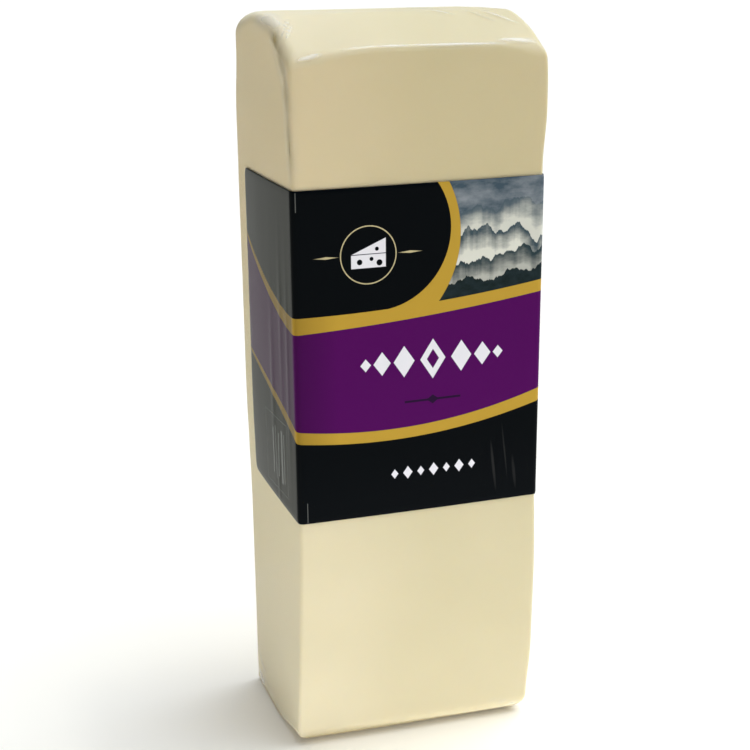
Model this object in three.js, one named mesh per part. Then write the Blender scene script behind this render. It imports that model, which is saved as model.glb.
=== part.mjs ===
import * as THREE from 'three';

// A long block of fresh goat cheese, shrink-wrapped in clear film and standing on one end,
// with a printed label round its left side, front and right side.
// Millimetres, +Z up. The label's front looks towards -Y and the block stands on z = 0.

// Driving dimensions of the block
const blockWidth = 104;
const blockDepth = 76;
const crownHeight = 302.4;
const uprightEdgeRadius = 2;
const baseFrontEdgeRadius = 9;
const baseBackEdgeRadius = 2.3;
const faceSwell = 0.5;

// The top's edge is rounder at the sides than in front, and roundest at the back
const topFrontEdgeRadius = 2;
const topSideEdgeRadius = 4.8;
const topBackEdgeRadius = 9.5;
const topSideStart = 0.55;

// The top falls from a level crown at the back to the front edge, and sags at both front corners
const crownFrontY = -6.5;
const frontFall = 11.5;
const frontFallPower = 1.45;
const backFall = 0.1;
const cornerSags = [
  { side: -1, depth: 3.1, startX: 15, startY: 10 },
  { side: 1, depth: 1.7, startX: 35, startY: -24 },
];

// Below the label the front leans back towards the base, more at the left than at the right
const leanHeight = 104;
const leanPower = 1.3;
const leanLeft = 11.6;
const leanRight = 3.6;

// Driving dimensions of the label, whose edges aren't quite level
const labelBottom = { leftEnd: 110.4, frontLeft: 107.3, frontRight: 105.6 };
const labelTop = { leftEnd: 241, frontLeft: 240, frontRight: 240.1 };
const labelThickness = 0.4;
const labelGap = 0.3;
const labelEndY = 23.6;

// How finely the surfaces are divided
const arcSteps = 5;
const wideFaceSteps = 12;
const narrowFaceSteps = 9;
const sideSteps = 9;
const edgeSteps = 5;
const baseScales = [0.35, 0.75];
const topScales = [0.96, 0.88, 0.76, 0.6, 0.42, 0.22];
const labelSteps = 3;

const halfWidth = blockWidth / 2;
const halfDepth = blockDepth / 2;

// Materials
const wrappedCheese = new THREE.MeshStandardMaterial({ color: 0xe8ddbb, roughness: 0.35, metalness: 0 });
const printedLabel = new THREE.MeshStandardMaterial({ color: 0x4a2048, roughness: 0.3, metalness: 0 });

function smoothStep(from, to, value) {
  const t = THREE.MathUtils.clamp((value - from) / (to - from), 0, 1);
  return t * t * (3 - 2 * t);
}

// Height of the top over a place on the plan, before its edges are rounded
function topHeight(x, y) {
  const forward = Math.max(0, (crownFrontY - y) / (crownFrontY + halfDepth));
  const backward = smoothStep(crownFrontY, halfDepth, y);
  let height = crownHeight - frontFall * forward ** frontFallPower - backFall * backward;
  for (const sag of cornerSags) {
    const across = smoothStep(sag.startX, halfWidth, sag.side * x);
    const along = smoothStep(-sag.startY, halfDepth, -y);
    height -= sag.depth * across * along;
  }
  return height;
}

// How far the surface at a place leans back from the upright front
function leanBack(x, y, z) {
  const low = Math.max(0, 1 - z / leanHeight) ** leanPower;
  const atFront = (halfDepth - y) / blockDepth;
  return THREE.MathUtils.lerp(leanLeft, leanRight, (x + halfWidth) / blockWidth) * low * atFront;
}

function place(x, y, z) {
  return new THREE.Vector3(x, y + leanBack(x, y, z), z);
}

// A quarter turn round one upright edge, counterclockwise, with both its ends
function cornerArc(sideX, sideY, startAngle, offset) {
  const centreX = sideX * (halfWidth - uprightEdgeRadius);
  const centreY = sideY * (halfDepth - uprightEdgeRadius);
  const radius = uprightEdgeRadius + offset;
  const points = [];
  for (let i = 0; i <= arcSteps; i++) {
    const angle = startAngle + (Math.PI / 2) * (i / arcSteps);
    points.push(new THREE.Vector2(centreX + radius * Math.cos(angle), centreY + radius * Math.sin(angle)));
  }
  return points;
}

// Points strictly between two ends of a face, which swells a little at its middle
function facePoints(from, to, steps) {
  const outward = new THREE.Vector2(to.y - from.y, from.x - to.x).normalize();
  const points = [];
  for (let i = 1; i < steps; i++) {
    const t = i / steps;
    points.push(from.clone().lerp(to, t).addScaledVector(outward, faceSwell * 4 * t * (1 - t)));
  }
  return points;
}

// The block's plan, counterclockwise from the front left edge
function blockOutline() {
  const corners = [
    cornerArc(-1, -1, Math.PI, 0),
    cornerArc(1, -1, Math.PI * 1.5, 0),
    cornerArc(1, 1, 0, 0),
    cornerArc(-1, 1, Math.PI * 0.5, 0),
  ];
  const steps = [wideFaceSteps, narrowFaceSteps, wideFaceSteps, narrowFaceSteps];
  return corners.flatMap((corner, i) => {
    const next = corners[(i + 1) % corners.length];
    return [...corner, ...facePoints(corner.at(-1), next[0], steps[i])];
  });
}

// A plan point drawn in from every face by an inset, then scaled towards the middle
function drawnIn(point, inset, scale) {
  return {
    x: point.x * (1 - inset / halfWidth) * scale,
    y: point.y * (1 - inset / halfDepth) * scale,
  };
}

function topEdgeRadius({ x, y }) {
  const along = THREE.MathUtils.lerp(topFrontEdgeRadius, topBackEdgeRadius, smoothStep(0, halfDepth, y));
  const sideward = smoothStep(topSideStart * halfWidth, halfWidth, Math.abs(x));
  return THREE.MathUtils.lerp(along, Math.max(along, topSideEdgeRadius), sideward);
}

function baseEdgeRadius(y) {
  return THREE.MathUtils.lerp(baseBackEdgeRadius, baseFrontEdgeRadius, smoothStep(0, halfDepth, -y));
}

// Closed rings of points from the base, up the sides and over the top
function blockRings(outline) {
  const rings = [];
  for (const scale of baseScales) {
    rings.push(outline.map((point) => {
      const { x, y } = drawnIn(point, baseEdgeRadius(point.y), scale);
      return place(x, y, 0);
    }));
  }
  for (let i = 0; i <= edgeSteps; i++) {
    const angle = (Math.PI / 2) * (i / edgeSteps);
    rings.push(outline.map((point) => {
      const radius = baseEdgeRadius(point.y);
      const { x, y } = drawnIn(point, radius * (1 - Math.sin(angle)), 1);
      return place(x, y, radius * (1 - Math.cos(angle)));
    }));
  }
  for (let i = 1; i < sideSteps; i++) {
    rings.push(outline.map((point) => {
      const shoulder = topHeight(point.x, point.y) - topEdgeRadius(point);
      return place(point.x, point.y, THREE.MathUtils.lerp(baseEdgeRadius(point.y), shoulder, i / sideSteps));
    }));
  }
  for (let i = 0; i <= edgeSteps; i++) {
    const angle = (Math.PI / 2) * (i / edgeSteps);
    rings.push(outline.map((point) => {
      const radius = topEdgeRadius(point);
      const { x, y } = drawnIn(point, radius * (1 - Math.cos(angle)), 1);
      return place(x, y, topHeight(x, y) - radius * (1 - Math.sin(angle)));
    }));
  }
  for (const scale of topScales) {
    rings.push(outline.map((point) => {
      const { x, y } = drawnIn(point, topEdgeRadius(point), scale);
      return place(x, y, topHeight(x, y));
    }));
  }
  return rings;
}

function geometryFrom(points, triangles) {
  const geometry = new THREE.BufferGeometry().setFromPoints(points);
  geometry.setIndex(triangles);
  geometry.computeVertexNormals();
  return geometry;
}

// Both triangles of the patch between two rings, seen from outside as counterclockwise
function patch(lower, lowerNext, upper, upperNext) {
  return [lower, lowerNext, upperNext, lower, upperNext, upper];
}

function makeBlock() {
  const outline = blockOutline();
  const rings = blockRings(outline);
  const count = outline.length;
  const points = rings.flat();
  const baseMiddle = points.push(place(0, 0, 0)) - 1;
  const topMiddle = points.push(place(0, 0, topHeight(0, 0))) - 1;
  const lastRing = (rings.length - 1) * count;
  const triangles = [];
  for (let i = 0; i < count; i++) {
    const next = (i + 1) % count;
    triangles.push(baseMiddle, next, i);
    triangles.push(topMiddle, lastRing + i, lastRing + next);
    for (let ring = 0; ring < lastRing; ring += count) {
      triangles.push(...patch(ring + i, ring + next, ring + count + i, ring + count + next));
    }
  }
  const block = new THREE.Mesh(geometryFrom(points, triangles), wrappedCheese);
  block.name = 'wrapped_cheese';
  return block;
}

// The label's plan at one offset from the block, from its left end round the front to its right end
function labelOutline(offset) {
  const left = cornerArc(-1, -1, Math.PI, offset);
  const right = cornerArc(1, -1, Math.PI * 1.5, offset);
  const leftBack = new THREE.Vector2(-halfWidth - offset, halfDepth - uprightEdgeRadius);
  const rightBack = new THREE.Vector2(halfWidth + offset, halfDepth - uprightEdgeRadius);
  const leftFace = facePoints(leftBack, left[0], narrowFaceSteps);
  const rightFace = facePoints(right.at(-1), rightBack, narrowFaceSteps);
  const frontFace = facePoints(left.at(-1), right[0], wideFaceSteps);
  const leftPart = cutAtLabelEnd([leftBack, ...leftFace].reverse()).reverse();
  const rightPart = cutAtLabelEnd([...rightFace, rightBack]);
  return [...leftPart, ...left, ...frontFace, ...right, ...rightPart];
}

// Keeps the points in front of the label's end, and adds the end itself
function cutAtLabelEnd(points) {
  const after = points.findIndex((point) => point.y > labelEndY);
  const [before, beyond] = [points[after - 1], points[after]];
  const end = before.clone().lerp(beyond, (labelEndY - before.y) / (beyond.y - before.y));
  return [...points.slice(0, after), end];
}

// Height of the label's top or bottom edge over a point of its plan
function labelEdge(heights, point) {
  const across = THREE.MathUtils.clamp((point.x + halfWidth) / blockWidth, 0, 1);
  const back = point.x < 0 ? THREE.MathUtils.clamp((point.y + halfDepth) / (labelEndY + halfDepth), 0, 1) : 0;
  const front = THREE.MathUtils.lerp(heights.frontLeft, heights.frontRight, across);
  return front + (heights.leftEnd - heights.frontLeft) * back;
}

function makeLabel() {
  const inner = labelOutline(labelGap);
  const outer = labelOutline(labelGap + labelThickness);
  const band = [...outer, ...inner.reverse()];
  const count = band.length;
  const points = [];
  for (let i = 0; i <= labelSteps; i++) {
    points.push(...band.map((point) => {
      const bottom = labelEdge(labelBottom, point);
      const top = labelEdge(labelTop, point);
      return new THREE.Vector3(point.x, point.y, THREE.MathUtils.lerp(bottom, top, i / labelSteps));
    }));
  }
  const lastRow = labelSteps * count;
  const triangles = [];
  for (let i = 0; i < count; i++) {
    const next = (i + 1) % count;
    for (let row = 0; row < lastRow; row += count) {
      triangles.push(...patch(row + i, row + next, row + count + i, row + count + next));
    }
  }
  // The label's thin top and bottom edges
  for (let i = 0; i + 1 < outer.length; i++) {
    const behind = count - 1 - i;
    const behindNext = behind - 1;
    triangles.push(...patch(behind, behindNext, i, i + 1));
    triangles.push(...patch(lastRow + i, lastRow + i + 1, lastRow + behind, lastRow + behindNext));
  }
  const label = new THREE.Mesh(geometryFrom(points, triangles), printedLabel);
  label.name = 'label';
  return label;
}

// The label adds its thickness at the front only, so the whole is moved to stand centred on its origin
const cheese = new THREE.Group();
cheese.add(makeBlock(), makeLabel());
const middle = new THREE.Box3().setFromObject(cheese).getCenter(new THREE.Vector3());
cheese.position.set(-middle.x, -middle.y, 0);

export default cheese;
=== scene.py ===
"""Looks of a long block of fresh goat cheese, sealed in clear film, with a printed label round its middle.

Metres, +Z up, the label's front towards -Y. The block's form follows the same rules as its solid, but is
divided finer.
"""
import math

import bpy
import numpy as np
from mathutils import Matrix, Vector


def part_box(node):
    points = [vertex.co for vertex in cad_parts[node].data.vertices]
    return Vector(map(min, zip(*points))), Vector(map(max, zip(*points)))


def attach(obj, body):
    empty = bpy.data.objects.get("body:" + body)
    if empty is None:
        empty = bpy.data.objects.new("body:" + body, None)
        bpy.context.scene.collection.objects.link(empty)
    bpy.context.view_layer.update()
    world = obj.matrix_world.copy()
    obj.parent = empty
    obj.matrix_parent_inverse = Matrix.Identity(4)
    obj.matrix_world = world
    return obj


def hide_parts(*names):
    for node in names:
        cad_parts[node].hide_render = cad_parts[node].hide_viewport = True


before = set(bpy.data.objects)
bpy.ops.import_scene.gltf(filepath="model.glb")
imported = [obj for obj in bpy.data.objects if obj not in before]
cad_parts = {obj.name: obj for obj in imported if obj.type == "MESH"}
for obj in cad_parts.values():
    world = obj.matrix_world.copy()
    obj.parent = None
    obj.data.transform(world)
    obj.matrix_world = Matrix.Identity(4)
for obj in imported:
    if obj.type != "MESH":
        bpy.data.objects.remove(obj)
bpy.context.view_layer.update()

MM = 0.001

# Sizes of the block, from the frame and from the rules of its solid
FACE_SWELL = 0.5 * MM
block_low, block_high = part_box("wrapped_cheese")
label_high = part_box("label")[1]
HALF_WIDTH = (block_high.x - block_low.x) / 2 - FACE_SWELL
HALF_DEPTH = (block_high.y - block_low.y) / 2 - FACE_SWELL
CENTRE_Y = (block_high.y + block_low.y) / 2
CROWN_HEIGHT = block_high.z
EDGE_RADIUS = 2 * MM
BASE_RADII = {"back": 2.3 * MM, "front": 9 * MM}
TOP_RADII = {"back": 9.5 * MM, "front": 2 * MM, "side": 4.8 * MM}
# Share of the half width past which the top edge's radius grows to the one at the side
TOP_SIDE_START = 0.55
# The top is level behind this place, falls towards the front, and falls very little towards the back
CROWN_FRONT_Y = -6.5 * MM
FRONT_FALL = 11.5 * MM
FRONT_FALL_POWER = 1.45
BACK_FALL = 0.1 * MM
# Side, depth, and the places across and along where each front corner starts to sag
CORNER_SAGS = ((-1, 3.1 * MM, 15 * MM, 10 * MM), (1, 1.7 * MM, 35 * MM, -24 * MM))
# Below this height the front leans back towards the base
LEAN_HEIGHT = 104 * MM
LEAN_POWER = 1.3
LEAN_LEFT = 11.6 * MM
LEAN_RIGHT = 3.6 * MM
# How far the sides bulge, and the heights where each bulge starts, is full from, is full to and ends
RIGHT_BULGE = 1.4 * MM
ABOVE_LABEL = (244 * MM, 266 * MM, 276 * MM, 297 * MM)
BELOW_LABEL = (8 * MM, 34 * MM, 70 * MM, 112 * MM)
LEFT_BULGE = 0.9 * MM
BEHIND_LABEL = (84 * MM, 150 * MM, 262 * MM, 288 * MM)
# Share of the half depth where the left side's bulge is full, and the power that keeps bulges to the sides
LEFT_BULGE_BACK = 0.7
BULGE_POWER = 4

# The label's edges, which aren't quite level: left end, front left and front right
LABEL_BOTTOM = (110.4 * MM, 107.3 * MM, 105.6 * MM)
LABEL_TOP = (241 * MM, 240 * MM, 240.1 * MM)
LABEL_END_Y = label_high.y - CENTRE_Y

# The cheese lies this far under the film's outer face
FILM_DEPTH = 0.35 * MM
# No crease goes deeper than this, which keeps the film outside the cheese
DEEPEST_CREASE = -0.15 * MM


def smooth_step(start, end, value):
    t = np.clip((value - start) / (end - start), 0, 1)
    return t * t * (3 - 2 * t)


def between(start, full_from, full_to, end, value):
    """1 from full_from to full_to, which fades to 0 at start and at end."""
    return smooth_step(start, full_from, value) * smooth_step(end, full_to, value)


def lerp(a, b, t):
    return a + (b - a) * t


# The block's form. x and y are measured from the block's middle.

def top_height(x, y):
    forward = np.maximum(0, (CROWN_FRONT_Y - y) / (CROWN_FRONT_Y + HALF_DEPTH))
    height = CROWN_HEIGHT - FRONT_FALL * forward ** FRONT_FALL_POWER
    height = height - BACK_FALL * smooth_step(CROWN_FRONT_Y, HALF_DEPTH, y)
    for side, depth, start_x, start_y in CORNER_SAGS:
        across = smooth_step(start_x, HALF_WIDTH, side * x)
        along = smooth_step(-start_y, HALF_DEPTH, -y)
        height = height - depth * across * along
    return height


def lean_back(x, y, z):
    low = np.maximum(0, 1 - z / LEAN_HEIGHT) ** LEAN_POWER
    at_front = (HALF_DEPTH - y) / (2 * HALF_DEPTH)
    return lerp(LEAN_LEFT, LEAN_RIGHT, (x + HALF_WIDTH) / (2 * HALF_WIDTH)) * low * at_front


def bulge(x, y, z):
    """How far the bulges move a point along x, which is outwards on either side."""
    at_right = np.maximum(0, x / HALF_WIDTH) ** BULGE_POWER
    at_left = np.maximum(0, -x / HALF_WIDTH) ** BULGE_POWER
    towards_back = smooth_step(-HALF_DEPTH, LEFT_BULGE_BACK * HALF_DEPTH, y)
    right = RIGHT_BULGE * (between(*ABOVE_LABEL, z) + between(*BELOW_LABEL, z)) * at_right
    left = LEFT_BULGE * between(*BEHIND_LABEL, z) * at_left * towards_back
    return right - left


def place(x, y, z):
    """Points of the block in the frame, from places on its plan and heights."""
    x, y, z = np.broadcast_arrays(x, y, z)
    return np.stack([x + bulge(x, y, z), y + lean_back(x, y, z) + CENTRE_Y, z], axis=-1)


def corner_arc(side_x, side_y, start_angle, steps):
    angles = start_angle + np.linspace(0, math.pi / 2, steps + 1)
    centre = np.array([side_x * (HALF_WIDTH - EDGE_RADIUS), side_y * (HALF_DEPTH - EDGE_RADIUS)])
    return centre + EDGE_RADIUS * np.stack([np.cos(angles), np.sin(angles)], axis=1)


def swollen_face(start, end, spacing):
    """Points strictly between two ends of a face, which swells a little at its middle."""
    length = np.linalg.norm(end - start)
    steps = max(2, round(length / spacing))
    t = np.arange(1, steps)[:, None] / steps
    outward = np.array([end[1] - start[1], start[0] - end[0]]) / length
    return start + (end - start) * t + outward * FACE_SWELL * 4 * t * (1 - t)


def block_outline(spacing, arc_steps):
    """The block's plan, counterclockwise from the front left edge."""
    corners = [
        corner_arc(-1, -1, math.pi, arc_steps),
        corner_arc(1, -1, math.pi * 1.5, arc_steps),
        corner_arc(1, 1, 0, arc_steps),
        corner_arc(-1, 1, math.pi * 0.5, arc_steps),
    ]
    parts = []
    for corner, following in zip(corners, corners[1:] + corners[:1]):
        parts += [corner, swollen_face(corner[-1], following[0], spacing)]
    return np.concatenate(parts)


def base_edge_radius(y):
    return lerp(BASE_RADII["back"], BASE_RADII["front"], smooth_step(0, HALF_DEPTH, -y))


def top_edge_radius(x, y):
    along = lerp(TOP_RADII["front"], TOP_RADII["back"], smooth_step(0, HALF_DEPTH, y))
    sideward = smooth_step(TOP_SIDE_START * HALF_WIDTH, HALF_WIDTH, abs(x))
    return lerp(along, np.maximum(along, TOP_RADII["side"]), sideward)


def drawn_in(x, y, inset, scale=1.0):
    return x * (1 - inset / HALF_WIDTH) * scale, y * (1 - inset / HALF_DEPTH) * scale


def shrinking(count):
    """Scales from 1 down towards 0, in even steps."""
    return 1 - np.linspace(0, 1, count, endpoint=False)


def block_rings(outline, edge_steps, side_spacing, cap_steps):
    """Rings of points from the base's middle, up the sides and over the top to its middle."""
    x, y = outline.T
    rings = []
    base_radius = base_edge_radius(y)
    for scale in shrinking(cap_steps)[:0:-1]:
        rings.append(place(*drawn_in(x, y, base_radius, scale), 0))
    angles = np.linspace(0, math.pi / 2, edge_steps + 1)
    for angle in angles:
        inset = base_radius * (1 - math.sin(angle))
        rings.append(place(*drawn_in(x, y, inset), base_radius * (1 - math.cos(angle))))
    top_radius = top_edge_radius(x, y)
    shoulder = top_height(x, y) - top_radius
    side_steps = round(CROWN_HEIGHT / side_spacing)
    for share in np.arange(1, side_steps) / side_steps:
        rings.append(place(x, y, lerp(base_radius, shoulder, share)))
    for angle in angles:
        inner_x, inner_y = drawn_in(x, y, top_radius * (1 - math.cos(angle)))
        drop = top_radius * (1 - math.sin(angle))
        rings.append(place(inner_x, inner_y, top_height(inner_x, inner_y) - drop))
    for scale in shrinking(cap_steps)[1:]:
        inner_x, inner_y = drawn_in(x, y, top_radius, scale)
        rings.append(place(inner_x, inner_y, top_height(inner_x, inner_y)))
    return np.array(rings)


def ring_faces(ring_count, point_count):
    """Quads between closed rings, and fans to a middle point at each end."""
    index = np.arange(point_count)
    following = np.roll(index, -1)
    quads = []
    for ring in range(ring_count - 1):
        low, high = ring * point_count, (ring + 1) * point_count
        quads.append(np.stack([low + index, low + following, high + following, high + index], axis=1))
    last = (ring_count - 1) * point_count
    base_middle, top_middle = ring_count * point_count, ring_count * point_count + 1
    fans = [(base_middle, int(following[i]), int(i)) for i in index]
    fans += [(top_middle, last + int(i), last + int(following[i])) for i in index]
    return np.concatenate(quads).tolist() + fans


def vertex_normals(mesh):
    normals = np.empty(len(mesh.vertices) * 3, np.float32)
    mesh.vertex_normals.foreach_get("vector", normals)
    return normals.reshape(-1, 3).astype(float)


def vertex_places(mesh):
    places = np.empty(len(mesh.vertices) * 3, np.float32)
    mesh.vertices.foreach_get("co", places)
    return places.reshape(-1, 3).astype(float)


def move_vertices(mesh, places):
    mesh.vertices.foreach_set("co", places.astype(np.float32).ravel())
    mesh.update()


def store(mesh, name, values):
    """Keeps one number for each vertex, which a material reads by name."""
    attribute = mesh.attributes.new(name, "FLOAT", "POINT")
    attribute.data.foreach_set("value", np.asarray(values, np.float32))


def add_object(name, points, faces):
    mesh = bpy.data.meshes.new(name)
    mesh.from_pydata(points.tolist(), [], faces)
    mesh.update()
    mesh.shade_smooth()
    piece = bpy.data.objects.new(name, mesh)
    bpy.context.scene.collection.objects.link(piece)
    return piece


def block_object(name, spacing, arc_steps, edge_steps, side_spacing, cap_steps):
    outline = block_outline(spacing, arc_steps)
    rings = block_rings(outline, edge_steps, side_spacing, cap_steps)
    middles = np.array([place(0, 0, 0), place(0, 0, top_height(0, 0))])
    points = np.concatenate([rings.reshape(-1, 3), middles])
    return add_object(name, points, ring_faces(len(rings), len(outline)))


# Creases of the film, as straight ridges and valleys: start, end, height and half width, in millimetres.
# A height below 0 is a valley. These are the ones that show from the front left. Ridges carry a painted
# highlight and valleys painted shade: the wide ridge over the top's left rounding is a painted reflection,
# and the wide valleys down the left side beside the front edge are a band of painted shade.
SEEN_CREASES = (
    ((-48.1, -36.4, 287.0), (-39.4, -36.3, 288.7), 0.50, 0.8),
    ((-30.5, -36.2, 290.3), (-2.0, -37.2, 291.3), 0.30, 0.55),
    ((-8.0, -37.2, 291.3), (34.0, -37.0, 290.6), 0.34, 0.55),
    ((32.4, -35.6, 291.9), (47.8, -34.3, 291.0), 0.42, 1.0),
    ((-43.9, -12.1, 300.1), (-49.8, -23.7, 294.3), 0.32, 0.7),
    ((-44.3, -17.3, 298.2), (-48.9, -25.9, 293.7), 0.28, 0.6),
    ((-44.6, -14.2, 299.3), (-50.0, -25.6, 293.0), -0.30, 0.6),
    ((-51.2, -17.0, 296.4), (-52.2, -25.2, 289.2), -0.45, 2.4),
    ((-52.2, -23.0, 291.4), (-52.1, -34.2, 279.5), -0.50, 3.2),
    ((-52.1, -31.5, 285.5), (-52.1, -35.2, 266.0), -0.50, 2.9),
    ((-52.1, -33.4, 276.5), (-51.9, -36.8, 244.0), -0.42, 2.3),
    ((-50.2, 4.0, 300.2), (-48.8, -18.0, 298.0), 0.28, 3.2),
    ((15.2, -6.6, 302.3), (21.6, -14.4, 300.6), 0.25, 0.8),
    ((30.0, -9.5, 301.8), (36.0, -21.0, 298.8), -0.25, 0.8),
    ((36.6, -11.0, 301.4), (44.4, -23.0, 297.6), 0.25, 0.9),
    ((8.0, 8.0, 302.4), (26.0, 0.0, 302.3), 0.18, 0.8),
    ((-52.4, 33.0, 7.0), (-52.2, -10.0, 4.5), -0.25, 0.9),
    ((-52.3, 33.0, 17.0), (-52.2, 22.0, 9.0), -0.30, 1.6),
    ((-52.3, 33.0, 7.0), (-52.2, 23.0, 3.0), 0.30, 1.8),
)

# Where the film gathers at the block's eight corners, in millimetres
GATHER_CORNERS = (
    (-50, -36, 286), (50, -36, 288), (50, 36, 296), (-50, 36, 296),
    (-50, -26, 4), (50, -33, 4), (50, 36, 3), (-50, 36, 3),
)
GATHERS_A_CORNER = 5
GATHER_LENGTHS = (9, 24)
GATHER_HEIGHTS = (0.10, 0.26)
GATHER_HALF_WIDTH = 0.8
# Gathers start this far from their corner. Corners above the middle height are the top's.
GATHER_START = 2
MIDDLE_HEIGHT = 150
# Heights of a ridge and of a valley whose painted highlight and painted shade show at full strength
FULL_RIDGE = 0.35
FULL_VALLEY = 0.5
# Share of a crease's length at each end over which it fades no further
CREASE_END = 0.04


def gathered_creases(random):
    """Short creases that run from each corner over the faces that meet there."""
    creases = []
    for corner in GATHER_CORNERS:
        corner = np.array(corner, float)
        inward = -np.sign(corner) * [1, 1, 0] + [0, 0, -1 if corner[2] > MIDDLE_HEIGHT else 1]
        for i in range(GATHERS_A_CORNER):
            # Each crease stays on one of the three faces: one part of its direction is nearly nought
            direction = inward * random.uniform(0.25, 1.0, 3)
            direction[i % 3] *= 0.05
            direction /= np.linalg.norm(direction)
            end = corner + direction * random.uniform(*GATHER_LENGTHS)
            height = random.uniform(*GATHER_HEIGHTS) * (1 if i % 2 else -1)
            start = corner + direction * GATHER_START
            creases.append((tuple(start), tuple(end), height, GATHER_HALF_WIDTH))
    return creases


def crease_relief(points, creases):
    """Heights of all creases at the points, in metres, and how strong ridges' painted highlight and valleys'
    painted shade are.
    """
    relief = np.zeros(len(points))
    ridge = np.zeros(len(points))
    valley = np.zeros(len(points))
    for start, end, height, half_width in creases:
        start, end = np.array(start) * MM, np.array(end) * MM
        along = end - start
        share = np.clip((points - start) @ along / (along @ along), 0, 1)
        distance = np.linalg.norm(points - start - share[:, None] * along, axis=1)
        taper = np.sin(math.pi * np.clip(share, CREASE_END, 1 - CREASE_END)) ** 0.5
        strength = np.exp(-(distance / (half_width * MM)) ** 2) * taper
        relief += height * MM * strength
        if height > 0:
            ridge = np.maximum(ridge, strength * min(1, height / FULL_RIDGE))
        else:
            valley = np.maximum(valley, strength * min(1, -height / FULL_VALLEY))
    return relief, ridge, valley


def wave_relief(points, random, count, lengths, height):
    """A sum of slow waves in random directions, for surfaces that aren't quite flat."""
    relief = np.zeros(len(points))
    for _ in range(count):
        direction = random.normal(size=3)
        direction /= np.linalg.norm(direction)
        length = random.uniform(*lengths) * MM
        phase = random.uniform(0, 2 * math.pi)
        relief += np.sin(points @ direction * 2 * math.pi / length + phase)
    return relief * height / math.sqrt(count)


# Heights between which the film's relief fades in above the floor
RELIEF_START = 0.2 * MM
RELIEF_FULL = 4 * MM


def make_film():
    film = block_object(
        "film", spacing=0.9 * MM, arc_steps=7, edge_steps=8, side_spacing=2.2 * MM, cap_steps=38,
    )
    mesh = film.data
    places, normals = vertex_places(mesh), vertex_normals(mesh)
    random = np.random.default_rng(11)
    relief, ridge, valley = crease_relief(places, list(SEEN_CREASES) + gathered_creases(random))
    relief += wave_relief(places, random, count=14, lengths=(14, 60), height=0.05 * MM)
    relief = np.maximum(relief, DEEPEST_CREASE)
    above_floor = smooth_step(RELIEF_START, RELIEF_FULL, places[:, 2])
    move_vertices(mesh, places + normals * (relief * above_floor)[:, None])
    # Strengths of the ridges' painted highlight and of the valleys' painted shade
    store(mesh, "ridge", ridge * above_floor)
    store(mesh, "valley", valley * above_floor)
    return film


# The cheese gets a little paler from the first place across to the second, towards its left side, partly
# painted light; and its sides get a little darker and yellower from the first height to the second, which is
# painted shade
PALE_ACROSS = (12 * MM, -50 * MM)
PAINTED_SHADE_HEIGHTS = (110 * MM, 240 * MM)
# Power that keeps the painted shade, the yellower colour, off the top, which faces up
FACING_UP_POWER = 0.7


def make_cheese():
    cheese = block_object(
        "cheese", spacing=2 * MM, arc_steps=6, edge_steps=7, side_spacing=3 * MM, cap_steps=20,
    )
    mesh = cheese.data
    places, normals = vertex_places(mesh), vertex_normals(mesh)
    random = np.random.default_rng(5)
    relief = wave_relief(places, random, count=20, lengths=(12, 50), height=0.04 * MM) - FILM_DEPTH
    move_vertices(mesh, places + normals * relief[:, None])
    # Paler towards the left, partly painted light, and painted shade that makes the sides darker and yellower
    # high up
    off_top = 1 - np.maximum(0, normals[:, 2]) ** FACING_UP_POWER
    store(mesh, "pale", smooth_step(*PALE_ACROSS, places[:, 0]))
    store(mesh, "upper", smooth_step(*PAINTED_SHADE_HEIGHTS, places[:, 2]) * off_top)
    return cheese


# The label, a sheet round the left side, the front and the right side

# Spacing of its points round the block and up it, radius of its corners, how far its underside, its face's
# edge and the rest of its face stand off the block, and how wide that edge is
LABEL_SPACING = 1.1 * MM
LABEL_ROW_SPACING = 1.5 * MM
LABEL_CORNER = 3 * MM
LABEL_UNDERSIDE = 0.06 * MM
LABEL_EDGE_RISE = 0.20 * MM
LABEL_FACE_RISE = 0.35 * MM
LABEL_EDGE_WIDTH = 1.2 * MM
LABEL_ARC_STEPS = 8
# Shares of the label's height: two close rows along each edge, and the first and last of the even rows
EDGE_ROWS = (0, 0.003)
EVEN_ROWS_FROM, EVEN_ROWS_TO = 0.008, 0.992
# Low ridges where the sheet is pulled round the block: middle across, middle height, half width, half
# length and rise, all in millimetres
LABEL_WRINKLES = (
    (33.5, 13.0, 1.0, 11.0, 0.22), (36.5, 8.0, 0.8, 8.0, 0.16), (29.5, 20.0, 1.2, 14.0, 0.12),
    (45.5, 60.0, 1.6, 16.0, 0.14), (-60.0, 60.0, 1.4, 34.0, 0.16), (-68.0, 74.0, 1.8, 30.0, 0.14),
    (-80.0, 50.0, 2.2, 30.0, 0.16), (-75.0, 10.0, 1.2, 12.0, 0.18), (62.0, 40.0, 1.6, 26.0, 0.16),
    (80.0, 80.0, 2.0, 30.0, 0.14), (92.0, 30.0, 1.4, 20.0, 0.16),
)


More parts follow.
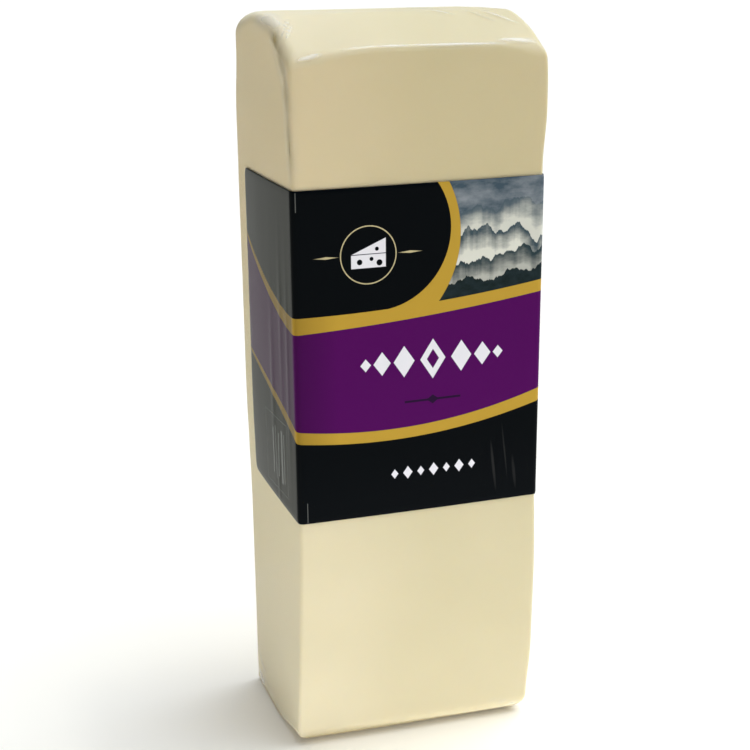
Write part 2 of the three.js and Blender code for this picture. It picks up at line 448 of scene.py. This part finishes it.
def label_plan():
    """Points round the label, their outward directions, and how far each lies from the front's middle."""
    left = corner_arc(-1, -1, math.pi, LABEL_ARC_STEPS)
    right = corner_arc(1, -1, math.pi * 1.5, LABEL_ARC_STEPS)
    left_back = np.array([-HALF_WIDTH, HALF_DEPTH - EDGE_RADIUS])
    right_back = np.array([HALF_WIDTH, HALF_DEPTH - EDGE_RADIUS])
    parts = [
        swollen_face(left_back, left[0], LABEL_SPACING), left,
        swollen_face(left[-1], right[0], LABEL_SPACING), right,
        swollen_face(right[-1], right_back, LABEL_SPACING),
    ]
    plan = np.concatenate(parts)
    plan = plan[plan[:, 1] <= LABEL_END_Y]
    tangent = np.gradient(plan, axis=0)
    outward = np.stack([tangent[:, 1], -tangent[:, 0]], axis=1)
    outward /= np.linalg.norm(outward, axis=1)[:, None]
    steps = np.linalg.norm(np.diff(plan, axis=0), axis=1)
    across = np.concatenate([[0], np.cumsum(steps)])
    return plan, outward, across - across[-1] / 2


def label_edge(heights, plan):
    left_end, front_left, front_right = heights
    across = np.clip((plan[:, 0] + HALF_WIDTH) / (2 * HALF_WIDTH), 0, 1)
    back = np.clip((plan[:, 1] + HALF_DEPTH) / (LABEL_END_Y + HALF_DEPTH), 0, 1) * (plan[:, 0] < 0)
    return lerp(front_left, front_right, across) + (left_end - front_left) * back


def label_wrinkles(across, height):
    """How far the sheet's wrinkles rise, in metres."""
    relief = np.zeros(np.broadcast(across, height).shape)
    for middle_across, middle_height, half_width, half_length, rise in LABEL_WRINKLES:
        sideways = (across / MM - middle_across) / half_width
        lengthways = (height / MM - middle_height) / half_length
        relief += rise * MM * np.exp(-sideways ** 2 - lengthways ** 2)
    return relief


def label_rows(plan, across):
    """Heights of the label's points, in rows from its bottom edge up, and how far each is from an edge."""
    from_end = across[-1] - np.abs(across)
    corner_gap = np.clip(LABEL_CORNER - from_end, 0, LABEL_CORNER)
    rounding = LABEL_CORNER - np.sqrt(LABEL_CORNER ** 2 - corner_gap ** 2)
    bottom = label_edge(LABEL_BOTTOM, plan) + rounding
    top = label_edge(LABEL_TOP, plan) - rounding
    row_count = round((LABEL_TOP[1] - LABEL_BOTTOM[1]) / LABEL_ROW_SPACING)
    even_rows = np.linspace(EVEN_ROWS_FROM, EVEN_ROWS_TO, row_count)
    shares = np.concatenate([EDGE_ROWS, even_rows, [1 - share for share in reversed(EDGE_ROWS)]])
    z = lerp(bottom, top, shares[:, None])
    return z, np.minimum(np.minimum(z - bottom, top - z), from_end)


def sheet_faces(rows, columns):
    """Faces of a closed sheet, whose outer points come first, row by row, and whose inner points follow."""
    index = np.arange(rows * columns).reshape(rows, columns)
    low, right_low, high, right_high = index[:-1, :-1], index[:-1, 1:], index[1:, :-1], index[1:, 1:]
    outer = np.stack([low, right_low, right_high, high], axis=-1).reshape(-1, 4)
    inner = np.stack([low, high, right_high, right_low], axis=-1).reshape(-1, 4) + index.size
    border = np.concatenate([index[0, :-1], index[:-1, -1], index[-1, :0:-1], index[:0:-1, 0]])
    following = np.roll(border, -1)
    rim = np.stack([border, border + index.size, following + index.size, following], axis=1)
    return np.concatenate([outer, inner, rim]).tolist()


def make_label():
    plan, outward, across = label_plan()
    z, from_edge = label_rows(plan, across)
    height = z - LABEL_BOTTOM[1]
    off_edge = smooth_step(0, LABEL_EDGE_WIDTH, from_edge)
    rise = lerp(LABEL_EDGE_RISE, LABEL_FACE_RISE, off_edge) + label_wrinkles(across, height) * off_edge

    def sheet(offset):
        x = plan[:, 0] + outward[:, 0] * offset
        y = plan[:, 1] + outward[:, 1] * offset
        return place(x, y, z).reshape(-1, 3)

    points = np.concatenate([sheet(rise), sheet(LABEL_UNDERSIDE)])
    label = add_object("printed_label", points, sheet_faces(*z.shape))
    # The outer and the inner points carry the same print
    store(label.data, "print_across", np.tile(np.broadcast_to(across, z.shape).ravel() / MM, 2))
    store(label.data, "print_height", np.tile(height.ravel() / MM, 2))
    return label


# Materials, written with fields that vary over a surface

class Field:
    """A number that varies over a surface. Arithmetic on fields adds Math nodes to the material."""

    def __init__(self, tree, socket):
        self.tree = tree
        self.socket = socket

    def math(self, operation, *others):
        node = self.tree.nodes.new("ShaderNodeMath")
        node.operation = operation
        for socket, value in zip(node.inputs, (self,) + others):
            if isinstance(value, Field):
                self.tree.links.new(value.socket, socket)
            else:
                socket.default_value = value
        return Field(self.tree, node.outputs[0])

    def __add__(self, other):
        return self.math("ADD", other)

    def __sub__(self, other):
        return self.math("SUBTRACT", other)

    def __mul__(self, other):
        return self.math("MULTIPLY", other)

    def __truediv__(self, other):
        return self.math("DIVIDE", other)

    def __abs__(self):
        return self.math("ABSOLUTE")

    def power(self, exponent):
        return self.math("POWER", exponent)

    def at_least(self, other):
        return self.math("MAXIMUM", other)

    def at_most(self, other):
        return self.math("MINIMUM", other)

    def clamped(self):
        return self.at_least(0.0).at_most(1.0)

    def inverse(self):
        return self * -1.0 + 1.0

    def ramp(self, start, end):
        """0 up to start, 1 from end on, and straight between them."""
        return ((self - start) / (end - start)).clamped()


# A shape in the print is a distance field, which is below 0 inside the shape and above 0 outside

def overlap(first, *others):
    """Where all the shapes lie."""
    for shape in others:
        first = first.at_least(shape)
    return first


def union(first, *others):
    """Where at least one of the shapes lies."""
    for shape in others:
        first = first.at_most(shape)
    return first


def outside(shape):
    return shape * -1.0


def new_material(name):
    material = bpy.data.materials.new(name)
    material.use_nodes = True
    tree = material.node_tree
    shader = tree.nodes["Principled BSDF"]
    return material, tree, shader


def attribute_field(tree, name):
    node = tree.nodes.new("ShaderNodeAttribute")
    node.attribute_name = name
    return Field(tree, node.outputs["Fac"])


def noise_field(tree, scale, detail=3.0, roughness=0.5, stretch=(1, 1, 1)):
    """Noise in the object's own metres, so that scale counts bumps to a metre."""
    place_node = tree.nodes.new("ShaderNodeTexCoord")
    mapping = tree.nodes.new("ShaderNodeMapping")
    mapping.inputs["Scale"].default_value = stretch
    tree.links.new(place_node.outputs["Object"], mapping.inputs["Vector"])
    noise = tree.nodes.new("ShaderNodeTexNoise")
    noise.inputs["Scale"].default_value = scale
    noise.inputs["Detail"].default_value = detail
    noise.inputs["Roughness"].default_value = roughness
    tree.links.new(mapping.outputs["Vector"], noise.inputs["Vector"])
    return Field(tree, noise.outputs["Fac"])


# The Mix node has its sockets A, B and Result once for each kind of value. These are the ones for colours.
MIX_FIRST, MIX_SECOND, MIX_RESULT = 6, 7, 2


def mixed(tree, share, first, second):
    """A colour that goes from first to second as the share field goes from 0 to 1."""
    node = tree.nodes.new("ShaderNodeMix")
    node.data_type = "RGBA"
    tree.links.new(share.socket, node.inputs["Factor"])
    for socket, colour in ((node.inputs[MIX_FIRST], first), (node.inputs[MIX_SECOND], second)):
        if isinstance(colour, tuple):
            socket.default_value = colour
        else:
            tree.links.new(colour, socket)
    return node.outputs[MIX_RESULT]


def bump(tree, field, strength, distance):
    node = tree.nodes.new("ShaderNodeBump")
    node.inputs["Strength"].default_value = strength
    node.inputs["Distance"].default_value = distance
    tree.links.new(field.socket, node.inputs["Height"])
    return node.outputs["Normal"]


# The cheese's paler and deeper colours, and darker copies of the same two high up on the sides, painted shade
PALE_CHEESE = (0.79, 0.68, 0.41, 1)
DEEP_CHEESE = (0.700, 0.60, 0.337, 1)
PALE_SHADED_UPPER = (0.748, 0.605, 0.345, 1)
DEEP_SHADED_UPPER = (0.652, 0.540, 0.286, 1)
# How much of the change from deep to pale comes from the place across, partly painted light, and how
# much from cloudy patches
PALE_BY_PLACE = 0.8
PALE_BY_CLOUDS = 0.8
PALE_LEAST = 0.1


def cheese_material():
    material, tree, shader = new_material("fresh_cheese")
    cloudy = noise_field(tree, 26, detail=4.0, roughness=0.55)
    by_place = attribute_field(tree, "pale") * PALE_BY_PLACE
    pale = (by_place + (cloudy - 0.5) * PALE_BY_CLOUDS + PALE_LEAST).clamped()
    colour = mixed(tree, pale, DEEP_CHEESE, PALE_CHEESE)
    # Darker copies of the colours for high up on the sides, which paint shade there
    shaded_upper_colour = mixed(tree, pale, DEEP_SHADED_UPPER, PALE_SHADED_UPPER)
    colour = mixed(tree, attribute_field(tree, "upper"), colour, shaded_upper_colour)
    curd = noise_field(tree, 900, detail=2.0)
    fine = noise_field(tree, 260, detail=3.0)
    tree.links.new(colour, shader.inputs["Base Color"])
    tree.links.new(bump(tree, curd * 0.4 + fine, 0.12, 0.4 * MM), shader.inputs["Normal"])
    shader.inputs["Roughness"].default_value = 0.5
    shader.inputs["Specular IOR Level"].default_value = 0.0
    shader.inputs["Coat Weight"].default_value = 0.14
    shader.inputs["Coat Roughness"].default_value = 0.10
    shader.inputs["Subsurface Weight"].default_value = 0.25
    shader.inputs["Subsurface Radius"].default_value = (1.0, 0.75, 0.45)
    shader.inputs["Subsurface Scale"].default_value = 3 * MM
    return material


# The film's own tint, then the ridges' pale colour, a painted highlight, and the valleys' dark colour,
# painted shade
FILM_COLOUR = (0.93, 0.89, 0.76, 1)
RIDGE_HIGHLIGHT = (1.0, 0.98, 0.90, 1)
VALLEY_SHADE = (0.40, 0.295, 0.045, 1)
# The film's opacity where it is smooth, and how much a ridge and a valley add
FILM_ALPHA = 0.06
RIDGE_ALPHA = 0.55
VALLEY_ALPHA = 0.58


def film_material():
    material, tree, shader = new_material("clear_film")
    ridge, valley = attribute_field(tree, "ridge"), attribute_field(tree, "valley")
    # Painted highlight on the ridges and painted shade in the valleys
    colour = mixed(tree, ridge.clamped(), FILM_COLOUR, RIDGE_HIGHLIGHT)
    colour = mixed(tree, valley.clamped(), colour, VALLEY_SHADE)
    tree.links.new(colour, shader.inputs["Base Color"])
    alpha = ridge * RIDGE_ALPHA + valley * VALLEY_ALPHA + FILM_ALPHA
    tree.links.new(alpha.clamped().socket, shader.inputs["Alpha"])
    shader.inputs["Specular IOR Level"].default_value = 0.4
    ripples = noise_field(tree, 70, detail=3.0, stretch=(1, 1, 0.35))
    tree.links.new(bump(tree, ripples, 0.25, 0.6 * MM), shader.inputs["Normal"])
    shader.inputs["Roughness"].default_value = 0.14
    shader.inputs["IOR"].default_value = 1.5
    return material


# Colours of the print
INK = (0.0015, 0.0025, 0.0035, 1)
GOLD = (0.54, 0.325, 0.039, 1)
VIOLET = (0.085, 0.0035, 0.091, 1)
WHITE = (0.86, 0.82, 0.79, 1)
PALE_GOLD = (0.60, 0.50, 0.26, 1)
DARK_PRINT = (0.022, 0.006, 0.03, 1)
SKY_HIGH = (0.060, 0.090, 0.108, 1)
SKY_LOW = (0.27, 0.29, 0.29, 1)
MIST = (0.80, 0.77, 0.62, 1)
# A painted sheen, for the reflection the label's sides show at a grazing angle
SIDE_SHEEN = (0.030, 0.032, 0.017, 1)
SIDE_FRAME = (0.16, 0.165, 0.15, 1)
SIDE_BARS = (0.36, 0.365, 0.33, 1)
PALE_LINE_COLOUR = (0.42, 0.42, 0.36, 1)
STREAK = (0.09, 0.085, 0.075, 1)

# The front half of the label's width, and the softness of a printed edge, in millimetres
FRONT_HALF = HALF_WIDTH / MM
PRINT_SOFTNESS = 0.16
# Turns a lozenge's own scale into about a millimetre for each millimetre
LOZENGE_STEEPNESS = 0.8


class Print:
    """The label's print, in millimetres across from the front's middle and up from the label's foot."""

    def __init__(self, tree):
        self.tree = tree
        self.across = attribute_field(tree, "print_across")
        self.height = attribute_field(tree, "print_height")
        self.colour = INK

    def inside(self, shape, softness=PRINT_SOFTNESS):
        """1 inside a shape and 0 outside it, with a soft edge between."""
        return (shape / -softness + 0.5).clamped()

    def paint(self, share, colour):
        self.colour = mixed(self.tree, share, self.colour, colour)

    def fill(self, shape, colour):
        self.paint(self.inside(shape), colour)

    def sweep(self, left, middle, right):
        """Height of a curved edge over the front, from its left, middle and right heights."""
        t = self.across.at_least(-FRONT_HALF).at_most(FRONT_HALF) / FRONT_HALF
        bend, slope = (left + right) / 2 - middle, (right - left) / 2
        return t * t * bend + t * slope + middle

    def behind_edge(self):
        """How far a place on either side lies behind the front's edge, or 0 on the front."""
        return (abs(self.across) - FRONT_HALF).at_least(0.0)

    def circle(self, across, height, radius):
        x, y = self.across - across, self.height - height
        return (x * x + y * y).power(0.5) - radius

    def box(self, across, height, half_width, half_height):
        x, y = abs(self.across - across) - half_width, abs(self.height - height) - half_height
        return overlap(x, y)

    def lozenge(self, across, height, half_width, half_height):
        x, y = abs(self.across - across) / half_width, abs(self.height - height) / half_height
        return (x + y - 1.0) * (min(half_width, half_height) * LOZENGE_STEEPNESS)


# Heights of the print's curved edges over the front: left, middle and right, in millimetres
BAND_LOW = (77.6, 80.5, 86.2)
BAND_HIGH = (84.2, 85.6, 91.1)
LINE_LOW = (33.8, 31.4, 40.1)
LINE_HIGH = (38.7, 36.0, 45.6)
# The dark field's rounded end and the gold crescent outside it: across, height and radius
DARK_ROUND = (-18.8, 115.1, 30.6)
CRESCENT = (-27.6, 112.6, 43.5)
# The print's length on each side. Towards the back, both gold lines rise and thin: how far they rise, by what
# power of the way back, and how much each of their edges moves in.
SIDE_LENGTH = 66.0
BAND_RISE, BAND_RISE_POWER, BAND_THINNING = 31.0, 1.62, 2.6
LINE_RISE, LINE_RISE_POWER, LINE_THINNING = 23.5, 0.86, 1.9


def paint_fields(label):
    """The large fields: dark, gold band, violet, gold line, dark."""
    back = label.behind_edge() / SIDE_LENGTH
    band_rise = back.power(BAND_RISE_POWER) * BAND_RISE
    line_rise = back.power(LINE_RISE_POWER) * LINE_RISE
    band_low = label.sweep(*BAND_LOW) + band_rise + back * BAND_THINNING
    band_high = label.sweep(*BAND_HIGH) + band_rise - back * BAND_THINNING
    line_low = label.sweep(*LINE_LOW) + line_rise + back * LINE_THINNING
    line_high = label.sweep(*LINE_HIGH) + line_rise - back * LINE_THINNING
    label.fill(overlap(line_high - label.height, label.height - band_low), VIOLET)
    label.fill(overlap(line_low - label.height, label.height - line_high), GOLD)

    over_band_low = band_low - label.height
    over_band_high = band_high - label.height
    crescent = label.circle(*CRESCENT)
    label.fill(overlap(over_band_low, union(crescent, label.height - band_high)), GOLD)

    on_front = abs(label.across) - FRONT_HALF
    right_of_round = label.across * -1.0 + DARK_ROUND[0]
    paint_picture(label, overlap(on_front, right_of_round, outside(crescent), over_band_high))

    left_of_round = label.across - DARK_ROUND[0]
    on_right_side = label.across * -1.0 + FRONT_HALF
    dark = union(left_of_round, label.circle(*DARK_ROUND), on_right_side)
    label.fill(overlap(dark, over_band_high), INK)


# Rows of hills from the far one to the near one: height of the ridge at the panel's middle, its slope and
# rise, how many bumps to a metre, the hill's colour, and how thick the mist at its foot is
HILLS = (
    (121.5, 0.10, 15.0, 60, (0.090, 0.122, 0.135, 1), 0.85),
    (111.5, -0.16, 13.0, 95, (0.050, 0.078, 0.088, 1), 0.95),
    (102.5, 0.12, 9.0, 130, (0.028, 0.047, 0.050, 1), 0.60),
    (94.5, 0.10, 6.0, 170, (0.010, 0.018, 0.017, 1), 0.0),
)
HILL_MIDDLE = 33.0
HILL_SOFTNESS = 0.3
HILL_GRAIN = 0.3
# Noise values between which the sky goes from high to low colours, and the hills from plain to grained
SKY_PATCHES = (0.36, 0.70)
GRAIN_PATCHES = (0.35, 0.975)
# How far below its ridge a hill is lost in mist, by what power, and how much the haze shifts that
MIST_DEPTH = 8.5
MIST_POWER = 1.4
MIST_HAZE = 1.6


def paint_picture(label, outline):
    """A plain landscape in slate tones: rows of hills that fade into pale mist at their feet."""
    tree = label.tree
    haze = noise_field(tree, 75, detail=5.0, roughness=0.6, stretch=(1, 1, 2.2))
    mottled = noise_field(tree, 240, detail=4.0, roughness=0.6, stretch=(1, 1, 1.6))
    grain = mottled.ramp(*GRAIN_PATCHES) * HILL_GRAIN
    sky = mixed(tree, haze.ramp(*SKY_PATCHES), SKY_HIGH, SKY_LOW)
    for height, slope, rise, bumps, colour, mist in HILLS:
        wander = noise_field(tree, bumps, detail=6.0, roughness=0.55, stretch=(1, 1, 0))
        ridge = (label.across - HILL_MIDDLE) * slope + (wander - 0.5) * (rise * 2.0) + height
        depth = ridge - label.height
        fade = (depth / MIST_DEPTH + (haze - 0.5) * MIST_HAZE).clamped().power(MIST_POWER) * mist
        hill = mixed(tree, grain, colour, SKY_HIGH)
        hill = mixed(tree, fade, hill, MIST)
        sky = mixed(tree, label.inside(outside(depth), HILL_SOFTNESS), sky, hill)
    label.fill(outline, sky)


# The emblem's middle, the radius and half width of its ring, and the distance and half sizes of the
# tapering lines beside it
EMBLEM = (-22.2, 106.7)
RING_RADIUS, RING_LINE = 11.2, 0.22
EMBLEM_LINE_DISTANCE, EMBLEM_LINE = 17.0, (4.6, 0.5)
# The wedge of cheese, from the emblem's middle: its half width, the middle and half height of its near
# side, where its top face starts, how fast that rises, and its holes as across, height and radius
WEDGE_HALF_WIDTH = 7.0
WEDGE_SIDE_MIDDLE, WEDGE_SIDE_HALF = -2.4, 2.6
WEDGE_TOP_START, WEDGE_TOP_LEFT, WEDGE_TOP_SLOPE = 0.5, 0.4, 0.42
WEDGE_HOLES = ((-3.6, -2.6, 1.1), (1.2, -1.6, 0.8), (4.4, -3.2, 1.2), (3.4, 2.2, 0.8))


def paint_emblem(label):
    """A ring with a plain wedge of cheese in it, between two short tapering lines."""
    across, height = EMBLEM
    label.fill(abs(label.circle(across, height, RING_RADIUS)) - RING_LINE, PALE_GOLD)
    for side in (-1, 1):
        label.fill(label.lozenge(across + side * EMBLEM_LINE_DISTANCE, height, *EMBLEM_LINE), PALE_GOLD)
    near_side = label.box(across, height + WEDGE_SIDE_MIDDLE, WEDGE_HALF_WIDTH, WEDGE_SIDE_HALF)
    slope = (label.across - across + WEDGE_HALF_WIDTH) * WEDGE_TOP_SLOPE + (height + WEDGE_TOP_LEFT)
    above_side = outside(label.height - height - WEDGE_TOP_START)
    top = overlap(label.height - slope, above_side, abs(label.across - across) - WEDGE_HALF_WIDTH)
    label.fill(near_side, WHITE)
    label.fill(top, WHITE)
    for x, y, radius in WEDGE_HOLES:
        label.fill(label.circle(across + x, height + y, radius), INK)


# The row on the violet field: its middle, the middle lozenge and the hole in it, and the lozenges on each
# side as distance, half width and half height
ROW_MIDDLE = (4.4, 62.9)
MIDDLE_LOZENGE, MIDDLE_HOLE = (5.4, 8.2), (2.6, 4.0)
SIDE_LOZENGES = ((12.2, 4.4, 6.4), (21.4, 3.6, 4.8), (28.2, 2.2, 2.6))
# The rule under the row, and the row of small lozenges on the dark field, every second one of them larger
RULE_HEIGHT, RULE, RULE_LOZENGE = 46.1, (12.0, 0.45), (2.6, 1.9)
SMALL_ROW, SMALL_STEP, SMALL_STEPS = (4.9, 16.3), 5.6, 3
SMALL_LOZENGE, LARGER = (1.5, 2.0), 1.35


def paint_ornaments(label):
    """Plain lozenges and a rule on the front."""
    across, height = ROW_MIDDLE
    label.fill(label.lozenge(across, height, *MIDDLE_LOZENGE), WHITE)
    label.fill(label.lozenge(across, height, *MIDDLE_HOLE), VIOLET)
    for side in (-1, 1):
        for distance, half_width, half_height in SIDE_LOZENGES:
            label.fill(label.lozenge(across + side * distance, height, half_width, half_height), WHITE)
    label.fill(label.box(across, RULE_HEIGHT, *RULE), DARK_PRINT)
    label.fill(label.lozenge(across, RULE_HEIGHT, *RULE_LOZENGE), DARK_PRINT)
    across, height = SMALL_ROW
    for step in range(-SMALL_STEPS, SMALL_STEPS + 1):
        half_width, half_height = (half * (1.0 if step % 2 else LARGER) for half in SMALL_LOZENGE)
        label.fill(label.lozenge(across + step * SMALL_STEP, height, half_width, half_height), WHITE)


# On each side: how far a thin frame's middle lies behind the front's edge, and its height, the frame's half
# sizes and half width of line, and its upright bars as place towards the front, half width and half height
SIDE_BOX_BACK, SIDE_BOX_HEIGHT = 25.5, 21.8
SIDE_BOX, SIDE_BOX_LINE = (13.6, 15.4), 0.2
UPRIGHT_BARS = (
    (9.8, 0.35, 10.6), (6.9, 0.9, 11.4), (2.9, 0.45, 9.4), (-0.9, 0.3, 11.4), (-4.1, 0.55, 9.8),
)


def paint_side_boxes(label):
    """On each side, a thin faint frame with upright bars."""
    for side in (-1, 1):
        middle = side * (FRONT_HALF + SIDE_BOX_BACK)
        label.fill(abs(label.box(middle, SIDE_BOX_HEIGHT, *SIDE_BOX)) - SIDE_BOX_LINE, SIDE_FRAME)
        for towards_front, half_width, half_height in UPRIGHT_BARS:
            bar = label.box(middle - side * towards_front, SIDE_BOX_HEIGHT, half_width, half_height)
            label.fill(bar, SIDE_BARS)


# How far behind the front's edges the sides' painted sheen is full, and how strong it is. How wide the
# painted shade beside the front's left edge is, how strong it is, and how softly it stops at that edge.
SHEEN_WIDTH, SHEEN_STRENGTH = 3.0, 0.6
SHADE_WIDTH, SHADE_STRENGTH = 17.0, 0.36
SHADE_SOFTNESS = 1.0
# Pale thin lines where the sheet bends: across, height and half height
PALE_LINES = ((-50.5, 128.4, 3.6), (-48.6, 4.4, 4.3))
PALE_LINE_HALF_WIDTH, PALE_LINE_SOFTNESS, PALE_LINE_STRENGTH = 0.09, 0.3, 0.45
# Dull slanting streaks: across, height, half width, half height and strength
STREAKS = ((31.5, 14.0, 0.8, 12.0, 0.22), (36.5, 20.0, 0.5, 13.0, 0.16), (41.0, 10.0, 0.9, 8.0, 0.16))
STREAK_SLANT = 0.12


def paint_wear_sheen_and_shade(label):
    """A pale haze of painted sheen on both sides, painted shade beside the front's left edge, pale lines and
    dull streaks.
    """
    # Painted sheen on both sides, then painted shade beside the front's left edge
    label.paint((label.behind_edge() / SHEEN_WIDTH).clamped() * SHEEN_STRENGTH, SIDE_SHEEN)
    on_front = label.inside(abs(label.across) - FRONT_HALF, SHADE_SOFTNESS)
    shade = ((label.across + FRONT_HALF) / SHADE_WIDTH).clamped().inverse() * on_front
    label.paint(shade * SHADE_STRENGTH, INK)
    for across, height, half_height in PALE_LINES:
        line = label.box(across, height, PALE_LINE_HALF_WIDTH, half_height)
        label.paint(label.inside(line, PALE_LINE_SOFTNESS) * PALE_LINE_STRENGTH, PALE_LINE_COLOUR)
    for across, height, half_width, half_height, strength in STREAKS:
        x = (label.across - across + (label.height - height) * STREAK_SLANT) / half_width
        y = (label.height - height) / half_height
        label.paint((x * x + y * y).inverse().clamped() * strength, STREAK)


def label_material():
    material, tree, shader = new_material("label_print")
    label = Print(tree)
    paint_fields(label)
    paint_emblem(label)
    paint_ornaments(label)
    paint_side_boxes(label)
    paint_wear_sheen_and_shade(label)
    tree.links.new(label.colour, shader.inputs["Base Color"])
    ripples = noise_field(tree, 45, detail=2.0, stretch=(1, 1, 0.3))
    tree.links.new(bump(tree, ripples, 0.2, 0.5 * MM), shader.inputs["Normal"])
    shader.inputs["Roughness"].default_value = 0.22
    shader.inputs["Specular IOR Level"].default_value = 0.03
    shader.inputs["Specular Tint"].default_value = (1.0, 0.98, 0.82, 1)
    return material


# The stage: floor, light and camera

FLOOR_RADIUS = 60.0
FLOOR_GLOW = 0.12
# The floor's two colours, which differ a little in wide patches
FLOOR_COLOURS = ((0.925, 0.865, 0.70, 1), (0.945, 0.885, 0.72, 1))
# The sky's strength at its darkest and at its brightest, the direction it is brightest in, how fast it
# fades from there, and a glow low down behind the block
SKY_DARKEST = 0.03
SKY_BRIGHTEST = 4.6
SKY_AXIS = (0.42, -0.05, 0.906)
SKY_POWER = 6.0
BACK_GLOW = 0.5
BACK_GLOW_POWER = 4.0
SKY_COLOUR = (0.95, 1.03, 1.23, 1)
# A small lamp overhead for the film's gloss, and panels lying in front and at the left for light from below
GLOSS_LAMP = {"place": (0.20, -0.02, 1.20), "aim": (0, 0, 0.29), "size": (0.10, 0.06), "power": 0.95}
LOW_PANEL = {
    "place": (-0.02, -0.18, 0.003), "aim": (-0.02, -0.18, 1.0), "size": (0.60, 0.30), "power": 0.455,
}
LEFT_PANEL = {
    "place": (-0.19, 0.04, 0.003), "aim": (-0.19, 0.04, 1.0), "size": (0.28, 0.22), "power": 0.06,
}
PANEL_COLOUR = (0.90, 0.98, 1.28)


def make_floor():
    corners = np.array([(-1, -1, 0), (1, -1, 0), (1, 1, 0), (-1, 1, 0)]) * FLOOR_RADIUS
    floor = add_object("floor", corners, [(0, 1, 2, 3)])
    material, tree, shader = new_material("pale_floor")
    colour = mixed(tree, noise_field(tree, 3, detail=1.0), *FLOOR_COLOURS)
    tree.links.new(colour, shader.inputs["Base Color"])
    shader.inputs["Roughness"].default_value = 0.9
    shader.inputs["Emission Color"].default_value = (1, 1, 1, 1)
    shader.inputs["Emission Strength"].default_value = FLOOR_GLOW
    floor.data.materials.append(material)


def make_world():
    world = bpy.data.worlds.new("studio")
    bpy.context.scene.world = world
    world.use_nodes = True
    tree = world.node_tree
    background = tree.nodes["Background"]
    coordinate = tree.nodes.new("ShaderNodeTexCoord")
    separate = tree.nodes.new("ShaderNodeSeparateXYZ")
    tree.links.new(coordinate.outputs["Generated"], separate.inputs["Vector"])
    x, y, z = (Field(tree, separate.outputs[axis]) for axis in "XYZ")
    toward = (x * SKY_AXIS[0] + y * SKY_AXIS[1] + z * SKY_AXIS[2]).clamped()
    glow = y.clamped().power(BACK_GLOW_POWER) * BACK_GLOW
    strength = toward.power(SKY_POWER) * (SKY_BRIGHTEST - SKY_DARKEST) + glow + SKY_DARKEST
    tree.links.new(strength.socket, background.inputs["Strength"])
    background.inputs["Color"].default_value = SKY_COLOUR


def add_area(name, light, colour=(1, 1, 1)):
    data = bpy.data.lights.new(name, "AREA")
    data.shape = "RECTANGLE"
    data.size, data.size_y = light["size"]
    data.energy = light["power"]
    data.color = colour
    lamp = bpy.data.objects.new(name, data)
    bpy.context.scene.collection.objects.link(lamp)
    lamp.location = light["place"]
    direction = Vector(light["aim"]) - Vector(light["place"])
    lamp.rotation_euler = direction.to_track_quat("-Z", "Y").to_euler()
    lamp.visible_camera = False
    return lamp


# The camera's place, turn to the right, tilt down and roll, and focal length over sensor width
CAMERA_PLACE = (-196.8 * MM, -526.3 * MM, 324.5 * MM)
CAMERA_TURN = math.radians(19.92)
CAMERA_TILT = math.radians(16.977)
CAMERA_ROLL = math.radians(0.494)
SENSOR_WIDTH = 36.0
FOCAL_SHARE = 1388.7 / 750


def make_camera():
    data = bpy.data.cameras.new("camera")
    data.sensor_width = SENSOR_WIDTH
    data.lens = SENSOR_WIDTH * FOCAL_SHARE
    camera = bpy.data.objects.new("camera", data)
    bpy.context.scene.collection.objects.link(camera)
    turn = Matrix.Rotation(-CAMERA_TURN, 4, "Z")
    tilt = Matrix.Rotation(math.pi / 2 - CAMERA_TILT, 4, "X")
    roll = Matrix.Rotation(-CAMERA_ROLL, 4, "Z")
    camera.matrix_world = Matrix.Translation(CAMERA_PLACE) @ turn @ tilt @ roll
    bpy.context.scene.camera = camera


def dress(piece, material, slot, *nodes):
    piece.data.materials.append(material)
    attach(piece, "root")
    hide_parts(*nodes)


make_camera()
bpy.context.scene.view_settings.view_transform = "Standard"
dress(make_cheese(), cheese_material(), "cheese", "wrapped_cheese")
dress(make_film(), film_material(), "film", "wrapped_cheese")
dress(make_label(), label_material(), "label", "label")
make_floor()
make_world()
add_area("gloss_lamp", GLOSS_LAMP)
add_area("low_panel", LOW_PANEL, PANEL_COLOUR)
add_area("left_panel", LEFT_PANEL, PANEL_COLOUR)
